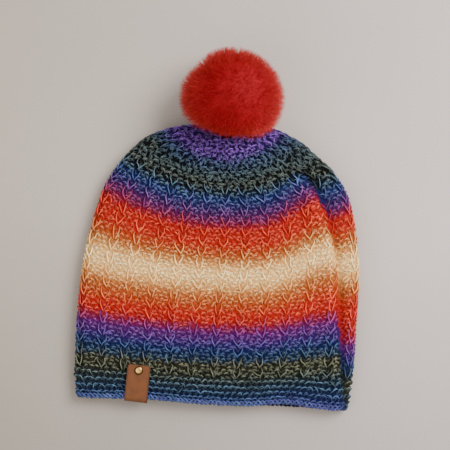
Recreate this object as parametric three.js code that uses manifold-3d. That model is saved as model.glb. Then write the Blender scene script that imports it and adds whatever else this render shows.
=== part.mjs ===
// A crocheted winter hat lying flat, with a fur pompom and a folded leather tag.
// Row frame: +Y from the hem to the pompom, +X to the right, +Z up from the surface it lies on.

import * as THREE from 'three';
import { mergeVertices } from 'three/addons/utils/BufferGeometryUtils.js';
import Module from 'manifold-3d';

const wasm = await Module();
wasm.setup();

// Driving dimensions, in millimetres.
const flatWidth = 248.6; // fold to fold
const bodyHeight = 248; // hem to the top edge of the crown
const loft = 21.5; // both layers and the air between them, at mid height
const wall = 4; // crocheted fabric
const fabricLength = 260; // one column of stitches, hem to closure
const gap = 0.3; // between neighbouring pieces

const brimHeight = 18.8; // plain rounds above the edging
const brimRounds = 4;
const brimRib = 0.7; // how far a plain round stands out
const edgingRadius = 2.2;

const columns = 24; // V-stitch columns round the hat
const columnRib = 0.8; // how far a column stands out
const gathers = 9; // soft lobes drawn in round the closure
const gatherRise = 2.2;
const closureRadius = 3.2; // eye that the pompom's tie passes through
const closureTilt = 21; // degrees that the closure looks up from the surface
const closureTurn = 6; // degrees that the pompom leans to the right

const creaseDepth = 4.8; // valley along the round's joining line, on the front
const creaseWidth = 5;

const pompomRadius = 45.6;
const pompomSeat = 32; // closure to the middle of the pompom
const pompomBase = 36; // shorter fur on the side that meets the crown
const lockCount = 72;
const lockRadius = 12;
const lockTip = 3.8;
const lockDepth = 14;

const tieRadius = 2.8;
const knotRadius = 7;
const knotHeight = 3.5;

const tagWidth = 20;
const tagLength = 32.3; // fold to top edge
const tagThickness = 1.7;
const tagCorner = 2.5;
const tagAcross = -0.535; // share of the half width
const tagLean = 3.7; // degrees that the tag's top edge leans to the right

const rivetRadius = 3.7; // cap
const rivetRise = 1.7;
const rivetRim = 0.5;
const postRadius = 1.2;
const rivetInset = 4.7; // tag's top edge to the rivet

// The laid-out shape, one row for each section from hem to closure. along is a share of
// fabricLength. width and shift are how wide the section is and how far it lies to the right, as
// shares of half the flatWidth. front, side and back are how high it lies up the hat in the
// middle of each layer and at its folds, as shares of bodyHeight. top and under are the heights
// of the two layers, as shares of loft.
const SECTIONS = [
  { along: 0.0, width: 0.953, shift: -0.007, front: 0.0, side: 0.0, back: 0.0, top: 0.78, under: 0 },
  { along: 0.031, width: 0.976, shift: -0.007, front: 0.032, side: 0.036, back: 0.034, top: 0.81, under: 0 },
  { along: 0.082, width: 0.99, shift: -0.006, front: 0.09, side: 0.107, back: 0.1, top: 0.86, under: 0 },
  { along: 0.258, width: 0.994, shift: -0.003, front: 0.268, side: 0.312, back: 0.288, top: 0.95, under: 0 },
  { along: 0.435, width: 0.974, shift: 0.012, front: 0.462, side: 0.53, back: 0.502, top: 1.0, under: 0 },
  { along: 0.594, width: 0.878, shift: 0.021, front: 0.629, side: 0.744, back: 0.698, top: 1.05, under: 0 },
  { along: 0.7, width: 0.757, shift: 0.014, front: 0.738, side: 0.846, back: 0.81, top: 1.17, under: 0 },
  { along: 0.753, width: 0.66, shift: 0, front: 0.787, side: 0.893, back: 0.86, top: 1.29, under: 0.02 },
  { along: 0.8, width: 0.543, shift: -0.008, front: 0.828, side: 0.94, back: 0.907, top: 1.42, under: 0.12 },
  { along: 0.843, width: 0.39, shift: -0.004, front: 0.866, side: 0.972, back: 0.944, top: 1.57, under: 0.3 },
  { along: 0.894, width: 0.225, shift: 0, front: 0.904, side: 0.98, back: 0.968, top: 1.7, under: 0.6 },
  { along: 0.947, width: 0.11, shift: 0, front: 0.934, side: 0.975, back: 0.974, top: 1.66, under: 0.88 },
];
const closureUp = 0.959; // share of bodyHeight
const closureHigh = 1.35; // share of loft
const dome = 0.16; // how much thinner the hat is at its folds, as a share

// Where the crease starts and ends along a column, and how far across it lies, as shares.
const CREASE = { from: 0.03, to: 0.73, low: 0.975, high: 0.785 };

// Soft hills and hollows of the front layer: across is a share of the half width.
const DENTS = [
  { across: -0.2, along: 0.85, wide: 9, long: 16, rise: -3.0 },
  { across: -0.42, along: 0.82, wide: 16, long: 12, rise: 2.4 },
  { across: 0.12, along: 0.86, wide: 20, long: 12, rise: 1.6 },
  { across: 0.42, along: 0.3, wide: 34, long: 46, rise: 1.0 },
  { across: -0.35, along: 0.42, wide: 40, long: 40, rise: -1.0 },
  { across: 0.2, along: 0.6, wide: 36, long: 30, rise: 0.9 },
];

// Where the front of the hem is drawn up: across is a share of the half width.
const HEM_WAVES = [
  { across: -0.5, wide: 34, rise: 1.8 },
  { across: 0.52, wide: 24, rise: 3.8 },
];
const waveEnd = 0.16; // share of fabricLength at which the waves have died away

const roundSteps = columns * 3;
const crownRows = 14;
const innerRows = 7;
const tau = Math.PI * 2;
const halfWidth = flatWidth / 2;
const edgingAlong = edgingRadius / fabricLength;
const brimFrom = (edgingRadius * 2 + gap) / fabricLength;
const brimTo = (edgingRadius * 2 + gap + brimHeight) / fabricLength;
const crownFrom = brimTo + gap / fabricLength;

const tilt = THREE.MathUtils.degToRad(closureTilt);
const lean = Math.tan(THREE.MathUtils.degToRad(closureTurn));
const closureAxis = new THREE.Vector3(lean, Math.cos(tilt), Math.sin(tilt)).normalize();
const closure = new THREE.Vector3(0, closureUp * bodyHeight, closureHigh * loft);

function closureSection() {
  const rise = (closureRadius * Math.sin(tilt)) / bodyHeight;
  const reach = (closureRadius * Math.cos(tilt)) / loft;
  return {
    along: 1,
    width: closureRadius / halfWidth,
    shift: 0,
    front: closureUp - rise,
    side: closureUp,
    back: closureUp + rise,
    top: closureHigh + reach,
    under: closureHigh - reach,
  };
}

const TABLE = [...SECTIONS, closureSection()];

/** A smooth curve through one column of the table of sections. */
function column(name, along) {
  const last = TABLE.length - 1;
  let i = 0;
  while (i < last - 1 && along > TABLE[i + 1].along) i += 1;
  const slope = (a, b) => (TABLE[b][name] - TABLE[a][name]) / (TABLE[b].along - TABLE[a].along);
  const tangent = (k) => slope(Math.max(k - 1, 0), Math.min(k + 1, last));
  const span = TABLE[i + 1].along - TABLE[i].along;
  const t = (along - TABLE[i].along) / span;
  const t2 = t * t;
  const t3 = t2 * t;
  return (
    (2 * t3 - 3 * t2 + 1) * TABLE[i][name] +
    (t3 - 2 * t2 + t) * span * tangent(i) +
    (3 * t2 - 2 * t3) * TABLE[i + 1][name] +
    (t3 - t2) * span * tangent(i + 1)
  );
}

/** A point of a flattened tube's section. turn 0 is the right fold, 0.25 mid front. */
function flattened(turn, wide, high) {
  const bend = Math.min(wide, high);
  const straight = 2 * (wide - bend);
  const arc = Math.PI * bend;
  let s = (turn - Math.floor(turn)) * 2 * (straight + arc);
  const side = s < straight + arc ? 1 : -1;
  if (side < 0) s -= straight + arc;
  const lift = high / bend;
  if (s < arc / 2) {
    const a = s / bend;
    return [side * (wide - bend + bend * Math.cos(a)), side * bend * Math.sin(a) * lift];
  }
  if (s < arc / 2 + straight) {
    return [side * (wide - bend - (s - arc / 2)), side * bend * lift];
  }
  const a = Math.PI / 2 + (s - arc / 2 - straight) / bend;
  return [side * (bend - wide + bend * Math.cos(a)), side * bend * Math.sin(a) * lift];
}

/** How far to the right the middle of a section lies. */
function sectionMiddle(along) {
  return column('shift', along) * halfWidth;
}

/** How far the front layer is drawn up near the hem. */
function hemWave(x, along) {
  const fade = 1 - THREE.MathUtils.smoothstep(along, 0, waveEnd);
  let rise = 0;
  for (const wave of HEM_WAVES) rise += wave.rise * bell((x - wave.across * halfWidth) / wave.wide);
  return rise * fade;
}

/** The outside of the fabric, before ribs and folds. */
function skin(turn, along) {
  const wide = column('width', along) * halfWidth;
  const under = column('under', along) * loft;
  const thick = column('top', along) * loft - under;
  const [x, z] = flattened(turn, wide, thick / 2);
  const across = x / wide;
  const share = THREE.MathUtils.clamp(z / thick + 0.5, 0, 1);
  const blend = share * share * (3 - 2 * share);
  const layer = THREE.MathUtils.lerp(column('back', along), column('front', along), blend);
  const rise = layer + (column('side', along) - layer) * across * across;
  const kept = 1 - dome * across * across * (1 - along ** 4);
  const up = rise * bodyHeight + hemWave(x, along) * blend;
  return new THREE.Vector3(x + sectionMiddle(along), up, under + thick * share * kept);
}

function skinNormal(turn, along) {
  const step = 0.002;
  const low = Math.max(along - step, 0);
  const high = Math.min(along + step, 1);
  const round = skin(turn + step, along).sub(skin(turn - step, along));
  const up = skin(turn, high).sub(skin(turn, low));
  return up.cross(round).normalize();
}

/** A point in the fabric: out is measured from its outside, and is negative towards the inside. */
function cloth(turn, along, out) {
  const point = skin(turn, along).addScaledVector(skinNormal(turn, along), out);
  point.z = Math.max(point.z, 0);
  return point;
}

function bell(x) {
  return Math.exp(-x * x);
}

function onFront(turn) {
  return turn - Math.floor(turn) < 0.5;
}

/** The valley along the joining line, with the ridge that stands beside it. */
function crease(turn, along) {
  if (!onFront(turn)) return 0;
  const share = (along - CREASE.from) / (CREASE.to - CREASE.from);
  if (share < 0 || share > 1) return 0;
  const wide = column('width', along) * halfWidth;
  const line = THREE.MathUtils.lerp(CREASE.low, CREASE.high, share ** 0.6) * wide;
  const d = (skin(turn, along).x - sectionMiddle(along) - line) / creaseWidth;
  const strength = Math.sin(Math.PI * share ** 0.6) ** 0.5;
  return creaseDepth * strength * (0.45 * bell(d + 1.6) - bell(d));
}

/** Hills and hollows that move the whole wall. */
function drape(turn, along) {
  let out = crease(turn, along);
  if (!onFront(turn)) return out;
  const x = skin(turn, along).x - sectionMiddle(along);
  for (const dent of DENTS) {
    const wide = column('width', dent.along) * halfWidth;
    const dx = (x - dent.across * wide) / dent.wide;
    const dy = ((along - dent.along) * fabricLength) / dent.long;
    out += dent.rise * bell(Math.hypot(dx, dy));
  }
  return out;
}

function gathered(turn, along) {
  const share = THREE.MathUtils.smoothstep(along, 0.78, 0.9);
  const fade = 1 - THREE.MathUtils.smoothstep(along, 0.93, 1);
  return gatherRise * share * fade * Math.cos(tau * (gathers * turn - 0.1));
}

function crownOutside(turn, along) {
  const rib = columnRib * bell(Math.sin(Math.PI * columns * turn) * 1.8);
  const fade = 1 - THREE.MathUtils.smoothstep(along, 0.8, 0.95);
  return cloth(turn, along, drape(turn, along) + gathered(turn, along) + rib * fade);
}

function brimOutside(turn, along) {
  const share = (along - brimFrom) / (brimTo - brimFrom);
  const rib = brimRib * Math.abs(Math.sin(Math.PI * brimRounds * share));
  return cloth(turn, along, drape(turn, along) + rib);
}

function inside(turn, along) {
  return cloth(turn, along, drape(turn, along) - wall);
}

/** A geometry from corners and triangles. */
function geometryOf(points, faces) {
  const geometry = new THREE.BufferGeometry();
  geometry.setAttribute('position', new THREE.Float32BufferAttribute(points.flatMap((p) => [p.x, p.y, p.z]), 3));
  geometry.setIndex(faces.flat());
  return geometry;
}

/** A closed body through a run of equal rings. It joins end to end, or has flat ends. */
function loft3d(rings, endToEnd = false) {
  const n = rings[0].length;
  const points = rings.flat();
  const faces = [];
  const runs = endToEnd ? rings.length : rings.length - 1;
  for (let r = 0; r < runs; r += 1) {
    const next = (r + 1) % rings.length;
    for (let k = 0; k < n; k += 1) {
      const m = (k + 1) % n;
      faces.push([r * n + k, r * n + m, next * n + m], [r * n + k, next * n + m, next * n + k]);
    }
  }
  if (!endToEnd) {
    for (const [ring, flip] of [[0, true], [rings.length - 1, false]]) {
      const middle = new THREE.Vector3();
      for (const p of rings[ring]) middle.addScaledVector(p, 1 / n);
      points.push(middle);
      const hub = points.length - 1;
      for (let k = 0; k < n; k += 1) {
        const pair = [ring * n + k, ring * n + ((k + 1) % n)];
        faces.push(flip ? [hub, pair[1], pair[0]] : [hub, ...pair]);
      }
    }
  }
  return facingOut(geometryOf(points, faces));
}

/** Turns a closed geometry's faces outwards. */
function facingOut(geometry) {
  const p = geometry.attributes.position;
  const index = geometry.index.array;
  const [a, b, c] = [new THREE.Vector3(), new THREE.Vector3(), new THREE.Vector3()];
  let volume = 0;
  for (let i = 0; i < index.length; i += 3) {
    a.fromBufferAttribute(p, index[i]);
    b.fromBufferAttribute(p, index[i + 1]);
    c.fromBufferAttribute(p, index[i + 2]);
    volume += a.dot(b.cross(c));
  }
  if (volume < 0) {
    for (let i = 0; i < index.length; i += 3) {
      [index[i + 1], index[i + 2]] = [index[i + 2], index[i + 1]];
    }
  }
  return geometry;
}

function ringOf(point, along) {
  return Array.from({ length: roundSteps }, (_, k) => point(k / roundSteps, along));
}

function spaced(from, to, count) {
  return Array.from({ length: count + 1 }, (_, k) => from + ((to - from) * k) / count);
}

/** A tube of fabric between two places along the hat, open at both ends. */
function fabricTube(outside, from, to, outerRows, rowsInside) {
  const outer = spaced(from, to, outerRows).map((along) => ringOf(outside, along));
  const inner = spaced(to, from, rowsInside).map((along) => ringOf(inside, along));
  return loft3d([...outer, ...inner], true);
}

function toSolid(geometry) {
  const plain = geometry.clone();
  for (const name of ['normal', 'uv']) plain.deleteAttribute(name);
  const merged = mergeVertices(plain, 1e-5);
  return new wasm.Manifold(
    new wasm.Mesh({
      numProp: 3,
      vertProperties: new Float32Array(merged.attributes.position.array),
      triVerts: new Uint32Array(merged.index.array),
    }),
  );
}

function toGeometry(solid) {
  const mesh = solid.getMesh();
  const geometry = new THREE.BufferGeometry();
  geometry.setAttribute('position', new THREE.BufferAttribute(mesh.vertProperties, 3));
  geometry.setIndex(new THREE.BufferAttribute(mesh.triVerts, 1));
  return geometry;
}

/** Moves a geometry made about the Y axis so that +Y points along a direction from a place. */
function along3d(geometry, place, direction) {
  const turned = new THREE.Quaternion().setFromUnitVectors(new THREE.Vector3(0, 1, 0), direction);
  return geometry.applyQuaternion(turned).translate(place.x, place.y, place.z);
}

/** A round bar along a direction, as a solid. */
function bar(radius, from, direction, length) {
  const geometry = new THREE.CylinderGeometry(radius, radius, length, 14).translate(0, length / 2, 0);
  return toSolid(along3d(geometry, from, direction));
}

function edging() {
  const sides = 6;
  const rings = spaced(0, 1, roundSteps)
    .slice(0, -1)
    .map((turn) => {
      const middle = skin(turn, edgingAlong).addScaledVector(skinNormal(turn, edgingAlong), -wall / 2);
      const up = skin(turn, brimFrom).sub(skin(turn, 0)).normalize();
      const out = skinNormal(turn, edgingAlong);
      return Array.from({ length: sides }, (_, k) => {
        const a = (tau * k) / sides;
        const point = middle
          .clone()
          .addScaledVector(up, edgingRadius * Math.sin(a))
          .addScaledVector(out, edgingRadius * Math.cos(a));
        point.z = Math.max(point.z, 0);
        return point;
      });
    });
  return loft3d(rings, true);
}

/** The turn at which the front layer lies a distance to the right of the hat's middle line. */
function turnAt(x, along) {
  let low = 0;
  let high = 0.5;
  for (let k = 0; k < 40; k += 1) {
    const middle = (low + high) / 2;
    if (skin(middle, along).x > x) low = middle;
    else high = middle;
  }
  return (low + high) / 2;
}

const leanSlope = Math.tan(THREE.MathUtils.degToRad(tagLean));
const tagTurn = turnAt(tagAcross * halfWidth, crownFrom);
const tagOut = Math.max(columnRib, brimRib) + gap + tagThickness / 2;
const tagIn = -wall - gap - tagThickness / 2;
const foldRadius = (tagOut - tagIn) / 2;
const foldDrop = (leanSlope * tagWidth) / 2; // keeps the leaning fold's high side off the edging
const flapLength = tagLength - foldRadius - tagThickness / 2 - foldDrop;
const rivetDistance = flapLength - rivetInset;

/** A point of the tag's middle layer: how far up a flap, and which flap. */
function flapPoint(distance, out) {
  const along = edgingAlong + distance / fabricLength;
  const turn = turnAt(tagAcross * halfWidth + leanSlope * (distance - rivetDistance), along);
  return skin(turn, along).addScaledVector(skinNormal(turn, along), out + drape(turn, along));
}

/** The leather strip, as its path from the front flap's top edge round the hem to the back's. */
function tagPath() {
  const flap = spaced(flapLength, -foldDrop, 7);
  const front = flap.map((d) => flapPoint(d, tagOut));
  const back = flap.map((d) => flapPoint(d, tagIn)).reverse();
  const middle = front.at(-1).clone().add(back[0]).multiplyScalar(0.5);
  const out = front.at(-1).clone().sub(middle).normalize();
  const down = front.at(-1).clone().sub(front.at(-2)).projectOnPlane(out).normalize();
  const bend = spaced(0, Math.PI, 8)
    .slice(1, -1)
    .map((a) =>
      middle
        .clone()
        .addScaledVector(out, foldRadius * Math.cos(a))
        .addScaledVector(down, foldRadius * Math.sin(a)),
    );
  return [...front, ...bend, ...back];
}

const tagLevel = skin(tagTurn - 0.01, crownFrom)
  .sub(skin(tagTurn + 0.01, crownFrom))
  .setY(0)
  .normalize();
const tagSide = tagLevel.clone().setY(-leanSlope).normalize();

const rivetAxis = flapPoint(rivetDistance, tagOut).sub(flapPoint(rivetDistance, tagIn)).normalize();
const rivetMiddle = flapPoint(rivetDistance, (tagOut + tagIn) / 2);
const rivetReach = (tagOut - tagIn + tagThickness) / 2 + gap;

function tag() {
  const path = tagPath();
  const lengths = path.map((p, k) => (k ? p.distanceTo(path[k - 1]) : 0));
  const total = lengths.reduce((sum, d) => sum + d, 0);
  const stations = [];
  let travelled = 0;
  path.forEach((point, k) => {
    travelled += lengths[k];
    const ahead = path[Math.min(k + 1, path.length - 1)];
    const behind = path[Math.max(k - 1, 0)];
    stations.push({ point, heading: ahead.clone().sub(behind).normalize(), travelled });
  });
  const corner = (station, share) => {
    const end = station.travelled < total / 2 ? 1 : -1;
    const point = station.point.clone().addScaledVector(station.heading, end * tagCorner * share);
    return { point, heading: station.heading, travelled: station.travelled + end * tagCorner * share };
  };
  const first = stations[0];
  const last = stations.at(-1);
  const shares = [0.12, 0.4, 1];
  const run = [
    first,
    ...shares.map((share) => corner(first, share)),
    ...stations.slice(1, -1),
    ...shares.toReversed().map((share) => corner(last, share)),
    last,
  ];
  const rings = run.map(({ point, heading, travelled: at }) => {
    const fromEnd = Math.min(at, total - at, tagCorner);
    const cut = tagCorner - Math.sqrt(tagCorner ** 2 - (tagCorner - fromEnd) ** 2);
    const side = tagSide.clone().projectOnPlane(heading).normalize();
    const face = side.clone().cross(heading).normalize();
    const w = tagWidth / 2 - cut;
    const t = tagThickness / 2;
    const place = (u, v) => point.clone().addScaledVector(side, u).addScaledVector(face, v);
    return [place(w, t), place(-w, t), place(-w, -t), place(w, -t)];
  });
  const strip = toSolid(loft3d(rings));
  return toGeometry(strip.subtract(rivetHole()));
}

function rivetHole() {
  const radius = postRadius + gap;
  const from = rivetMiddle.clone().addScaledVector(rivetAxis, -rivetReach * 2);
  return bar(radius, from, rivetAxis, rivetReach * 4);
}

/** Both caps and the post between them, as one turned piece. */
function rivet() {
  const cap = (sign) => {
    const arc = spaced(0, Math.PI / 2, 4).map((a) => [
      rivetRadius * Math.cos(a),
      rivetReach + rivetRim + (rivetRise - rivetRim) * Math.sin(a),
    ]);
    return [[rivetRadius, rivetReach], ...arc].map(([r, h]) => new THREE.Vector2(r, sign * h));
  };
  const under = cap(-1).toReversed();
  const profile = [
    ...under,
    new THREE.Vector2(postRadius, -rivetReach),
    new THREE.Vector2(postRadius, rivetReach),
    ...cap(1),
  ];
  profile[0].x = 0;
  profile.at(-1).x = 0;
  return along3d(mergeVertices(stripped(new THREE.LatheGeometry(profile, 14))), rivetMiddle, rivetAxis);
}

function stripped(geometry) {
  for (const name of ['normal', 'uv']) geometry.deleteAttribute(name);
  return geometry;
}

/** The outside of the crown, grown by a clearance and closed, for cutting its neighbours. */
function crownEnvelope(clearance) {
  const grown = (turn, along) =>
    cloth(turn, along, drape(turn, along) + gathered(turn, along) + columnRib + clearance);
  return toSolid(loft3d(spaced(0.45, 1, 24).map((along) => ringOf(grown, along))));
}

const pompomMiddle = closure.clone().addScaledVector(closureAxis, pompomSeat);

/** How far the fur reaches in a direction: it is shorter towards the crown. */
function furReach(direction) {
  const towards = THREE.MathUtils.smoothstep(-direction.dot(closureAxis), 0.35, 0.95);
  return THREE.MathUtils.lerp(pompomRadius, pompomBase, towards);
}

/** A direction for each lock, spread evenly over a ball. */
function spreadDirection(k, count) {
  const golden = Math.PI * (3 - Math.sqrt(5));
  const y = 1 - (2 * (k + 0.5)) / count;
  const r = Math.sqrt(1 - y * y);
  return new THREE.Vector3(r * Math.cos(golden * k), y, r * Math.sin(golden * k));
}

/** Tapered locks of fur fused round a ball, dented by the crown and flattened by the surface. */
function pompom() {
  const ball = new THREE.IcosahedronGeometry(1, 2);
  const p = ball.attributes.position;
  const v = new THREE.Vector3();
  for (let k = 0; k < p.count; k += 1) {
    v.fromBufferAttribute(p, k).normalize();
    v.multiplyScalar(furReach(v) - lockDepth * 0.4).add(pompomMiddle);
    p.setXYZ(k, v.x, v.y, v.z);
  }
  let fur = toSolid(ball);
  for (let k = 0; k < lockCount; k += 1) {
    const direction = spreadDirection(k, lockCount);
    const reach = furReach(direction) * (1 - 0.025 * (k % 3));
    const lock = new THREE.CylinderGeometry(lockTip, lockRadius, lockDepth, 5).rotateY(k);
    lock.translate(0, reach - lockDepth / 2, 0);
    fur = fur.add(toSolid(along3d(lock, pompomMiddle, direction)));
  }
  const ground = new THREE.BoxGeometry(pompomRadius * 4, pompomRadius * 4, pompomRadius);
  ground.translate(pompomMiddle.x, pompomMiddle.y, -pompomRadius / 2);
  fur = fur.subtract(toSolid(ground)).subtract(crownEnvelope(gap));
  return toGeometry(fur.subtract(bar(tieRadius + gap, closure, closureAxis, pompomSeat + gap)));
}

/** The yarn that ties the pompom on: a knot inside the crown and a stalk into the fur. */
function pompomTie() {
  const inner = -wall - gap;
  const profile = [
    [0, inner - knotHeight],
    [knotRadius * 0.8, inner - knotHeight],
    [knotRadius, inner - knotHeight / 2],
    [knotRadius * 0.8, inner],
    [tieRadius, inner],
    [tieRadius, pompomSeat],
    [0, pompomSeat],
  ].map(([r, h]) => new THREE.Vector2(r, h));
  return along3d(mergeVertices(stripped(new THREE.LatheGeometry(profile, 10))), closure, closureAxis);
}

function crown() {
  const tube = fabricTube(crownOutside, crownFrom, 1, crownRows, innerRows);
  const below = closure.clone().addScaledVector(closureAxis, -wall * 2);
  const eye = bar(tieRadius + gap, below, closureAxis, wall * 3);
  const seatTop = closure.clone().addScaledVector(closureAxis, -wall);
  const seat = bar(knotRadius + gap, seatTop, closureAxis.clone().negate(), knotHeight + gap * 2);
  return toGeometry(toSolid(tube).subtract(rivetHole()).subtract(eye).subtract(seat));
}

function brim() {
  return fabricTube(brimOutside, brimFrom, brimTo, brimRounds * 2, 2);
}

function material(color, roughness, metalness = 0) {
  return new THREE.MeshStandardMaterial({ color, roughness, metalness });
}

const pieces = [
  ['crown', crown(), material(0xb85a3c, 0.85)],
  ['brim', brim(), material(0x3a4a58, 0.85)],
  ['edging', edging(), material(0x44568c, 0.85)],
  ['pompom', pompom(), material(0xc41d1f, 0.95)],
  ['pompom_tie', pompomTie(), material(0x5b3a86, 0.85)],
  ['tag', tag(), material(0xa5673f, 0.6)],
  ['rivet', rivet(), material(0xc9a35a, 0.3, 1)],
];

const hat = new THREE.Group();
for (const [name, geometry, finish] of pieces) {
  const mesh = new THREE.Mesh(geometry, finish);
  mesh.name = name;
  hat.add(mesh);
}

// The origin is the middle of the hat's outline on the surface that it lies on.
const box = new THREE.Box3().setFromObject(hat);
const middle = box.getCenter(new THREE.Vector3());
hat.position.set(-middle.x, -middle.y, -box.min.z);
hat.updateMatrixWorld(true);

export default hat;
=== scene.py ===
"""A crocheted winter hat lying flat on its back, with a fur pompom and a folded leather tag."""

import logging
import math
from dataclasses import dataclass, field
from enum import Enum

import bmesh
import bpy
import numpy as np
from mathutils import Matrix, Vector

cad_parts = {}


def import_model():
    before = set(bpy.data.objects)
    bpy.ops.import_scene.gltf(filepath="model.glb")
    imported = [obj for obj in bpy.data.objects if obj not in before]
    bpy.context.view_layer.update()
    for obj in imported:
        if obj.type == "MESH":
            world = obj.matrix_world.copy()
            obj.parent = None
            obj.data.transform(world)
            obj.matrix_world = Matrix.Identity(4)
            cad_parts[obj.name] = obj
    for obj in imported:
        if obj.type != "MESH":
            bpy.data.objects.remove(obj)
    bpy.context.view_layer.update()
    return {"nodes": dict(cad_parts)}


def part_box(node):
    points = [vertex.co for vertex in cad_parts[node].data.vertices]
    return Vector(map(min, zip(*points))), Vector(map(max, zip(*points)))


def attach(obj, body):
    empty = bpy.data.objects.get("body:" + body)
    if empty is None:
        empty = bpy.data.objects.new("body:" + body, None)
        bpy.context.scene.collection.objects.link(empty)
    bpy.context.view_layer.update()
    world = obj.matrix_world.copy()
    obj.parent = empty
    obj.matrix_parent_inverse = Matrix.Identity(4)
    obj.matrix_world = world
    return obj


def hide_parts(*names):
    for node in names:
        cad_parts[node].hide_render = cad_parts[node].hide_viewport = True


log = logging.getLogger("hat")

MM = 0.001
TAU = math.tau
TINY = 1e-12
FABRIC_LENGTH = 260.0  # from the hem to the closure, in millimetres
FABRIC_ROUND = 495.0  # round the hat near the hem, in millimetres
PLAIN_ROUND = 4.7  # the height of one plain round, in millimetres
PLAIN_STITCH = 5.15  # the width of one plain stitch, in millimetres
CROWN_FROM = 23.8 / FABRIC_LENGTH  # where the plain rounds end, as a share of the length
CROWN_TO = 0.99
BRIM_FROM = 2.0 / FABRIC_LENGTH
BRIM_TO = 23.5 / FABRIC_LENGTH

Array = np.ndarray
Rng = np.random.Generator
Colour = tuple[float, float, float]
Socket = bpy.types.NodeSocket
Material = bpy.types.Material
Piece = bpy.types.Object
Mesh = bpy.types.Mesh


def smoothstep(low: float, high: float, x: Array) -> Array:
    """A soft ramp from 0 at low to 1 at high."""
    t = np.clip((x - low) / (high - low), 0.0, 1.0)
    return t * t * (3.0 - 2.0 * t)


def bell(x: Array) -> Array:
    """A bump of height 1 round x = 0."""
    return np.exp(-x * x)


def unit(way: Array, tiny: float = 0.0) -> Array:
    """Directions of length 1."""
    return way / (np.linalg.norm(way, axis=-1, keepdims=True) + tiny)


@dataclass(frozen=True)
class Section:
    """One section of the laid-out hat, in shares of its length, half width, height and loft."""

    along: float
    width: float
    shift: float
    front: float
    side: float
    back: float
    top: float
    under: float


@dataclass(frozen=True)
class Dent:
    """A soft hill or hollow of the front layer, in shares and millimetres."""

    across: float
    along: float
    wide: float
    long: float
    rise: float


@dataclass(frozen=True)
class HemWave:
    """A place where the front of the hem is drawn up, in a share and millimetres."""

    across: float
    wide: float
    rise: float


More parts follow.
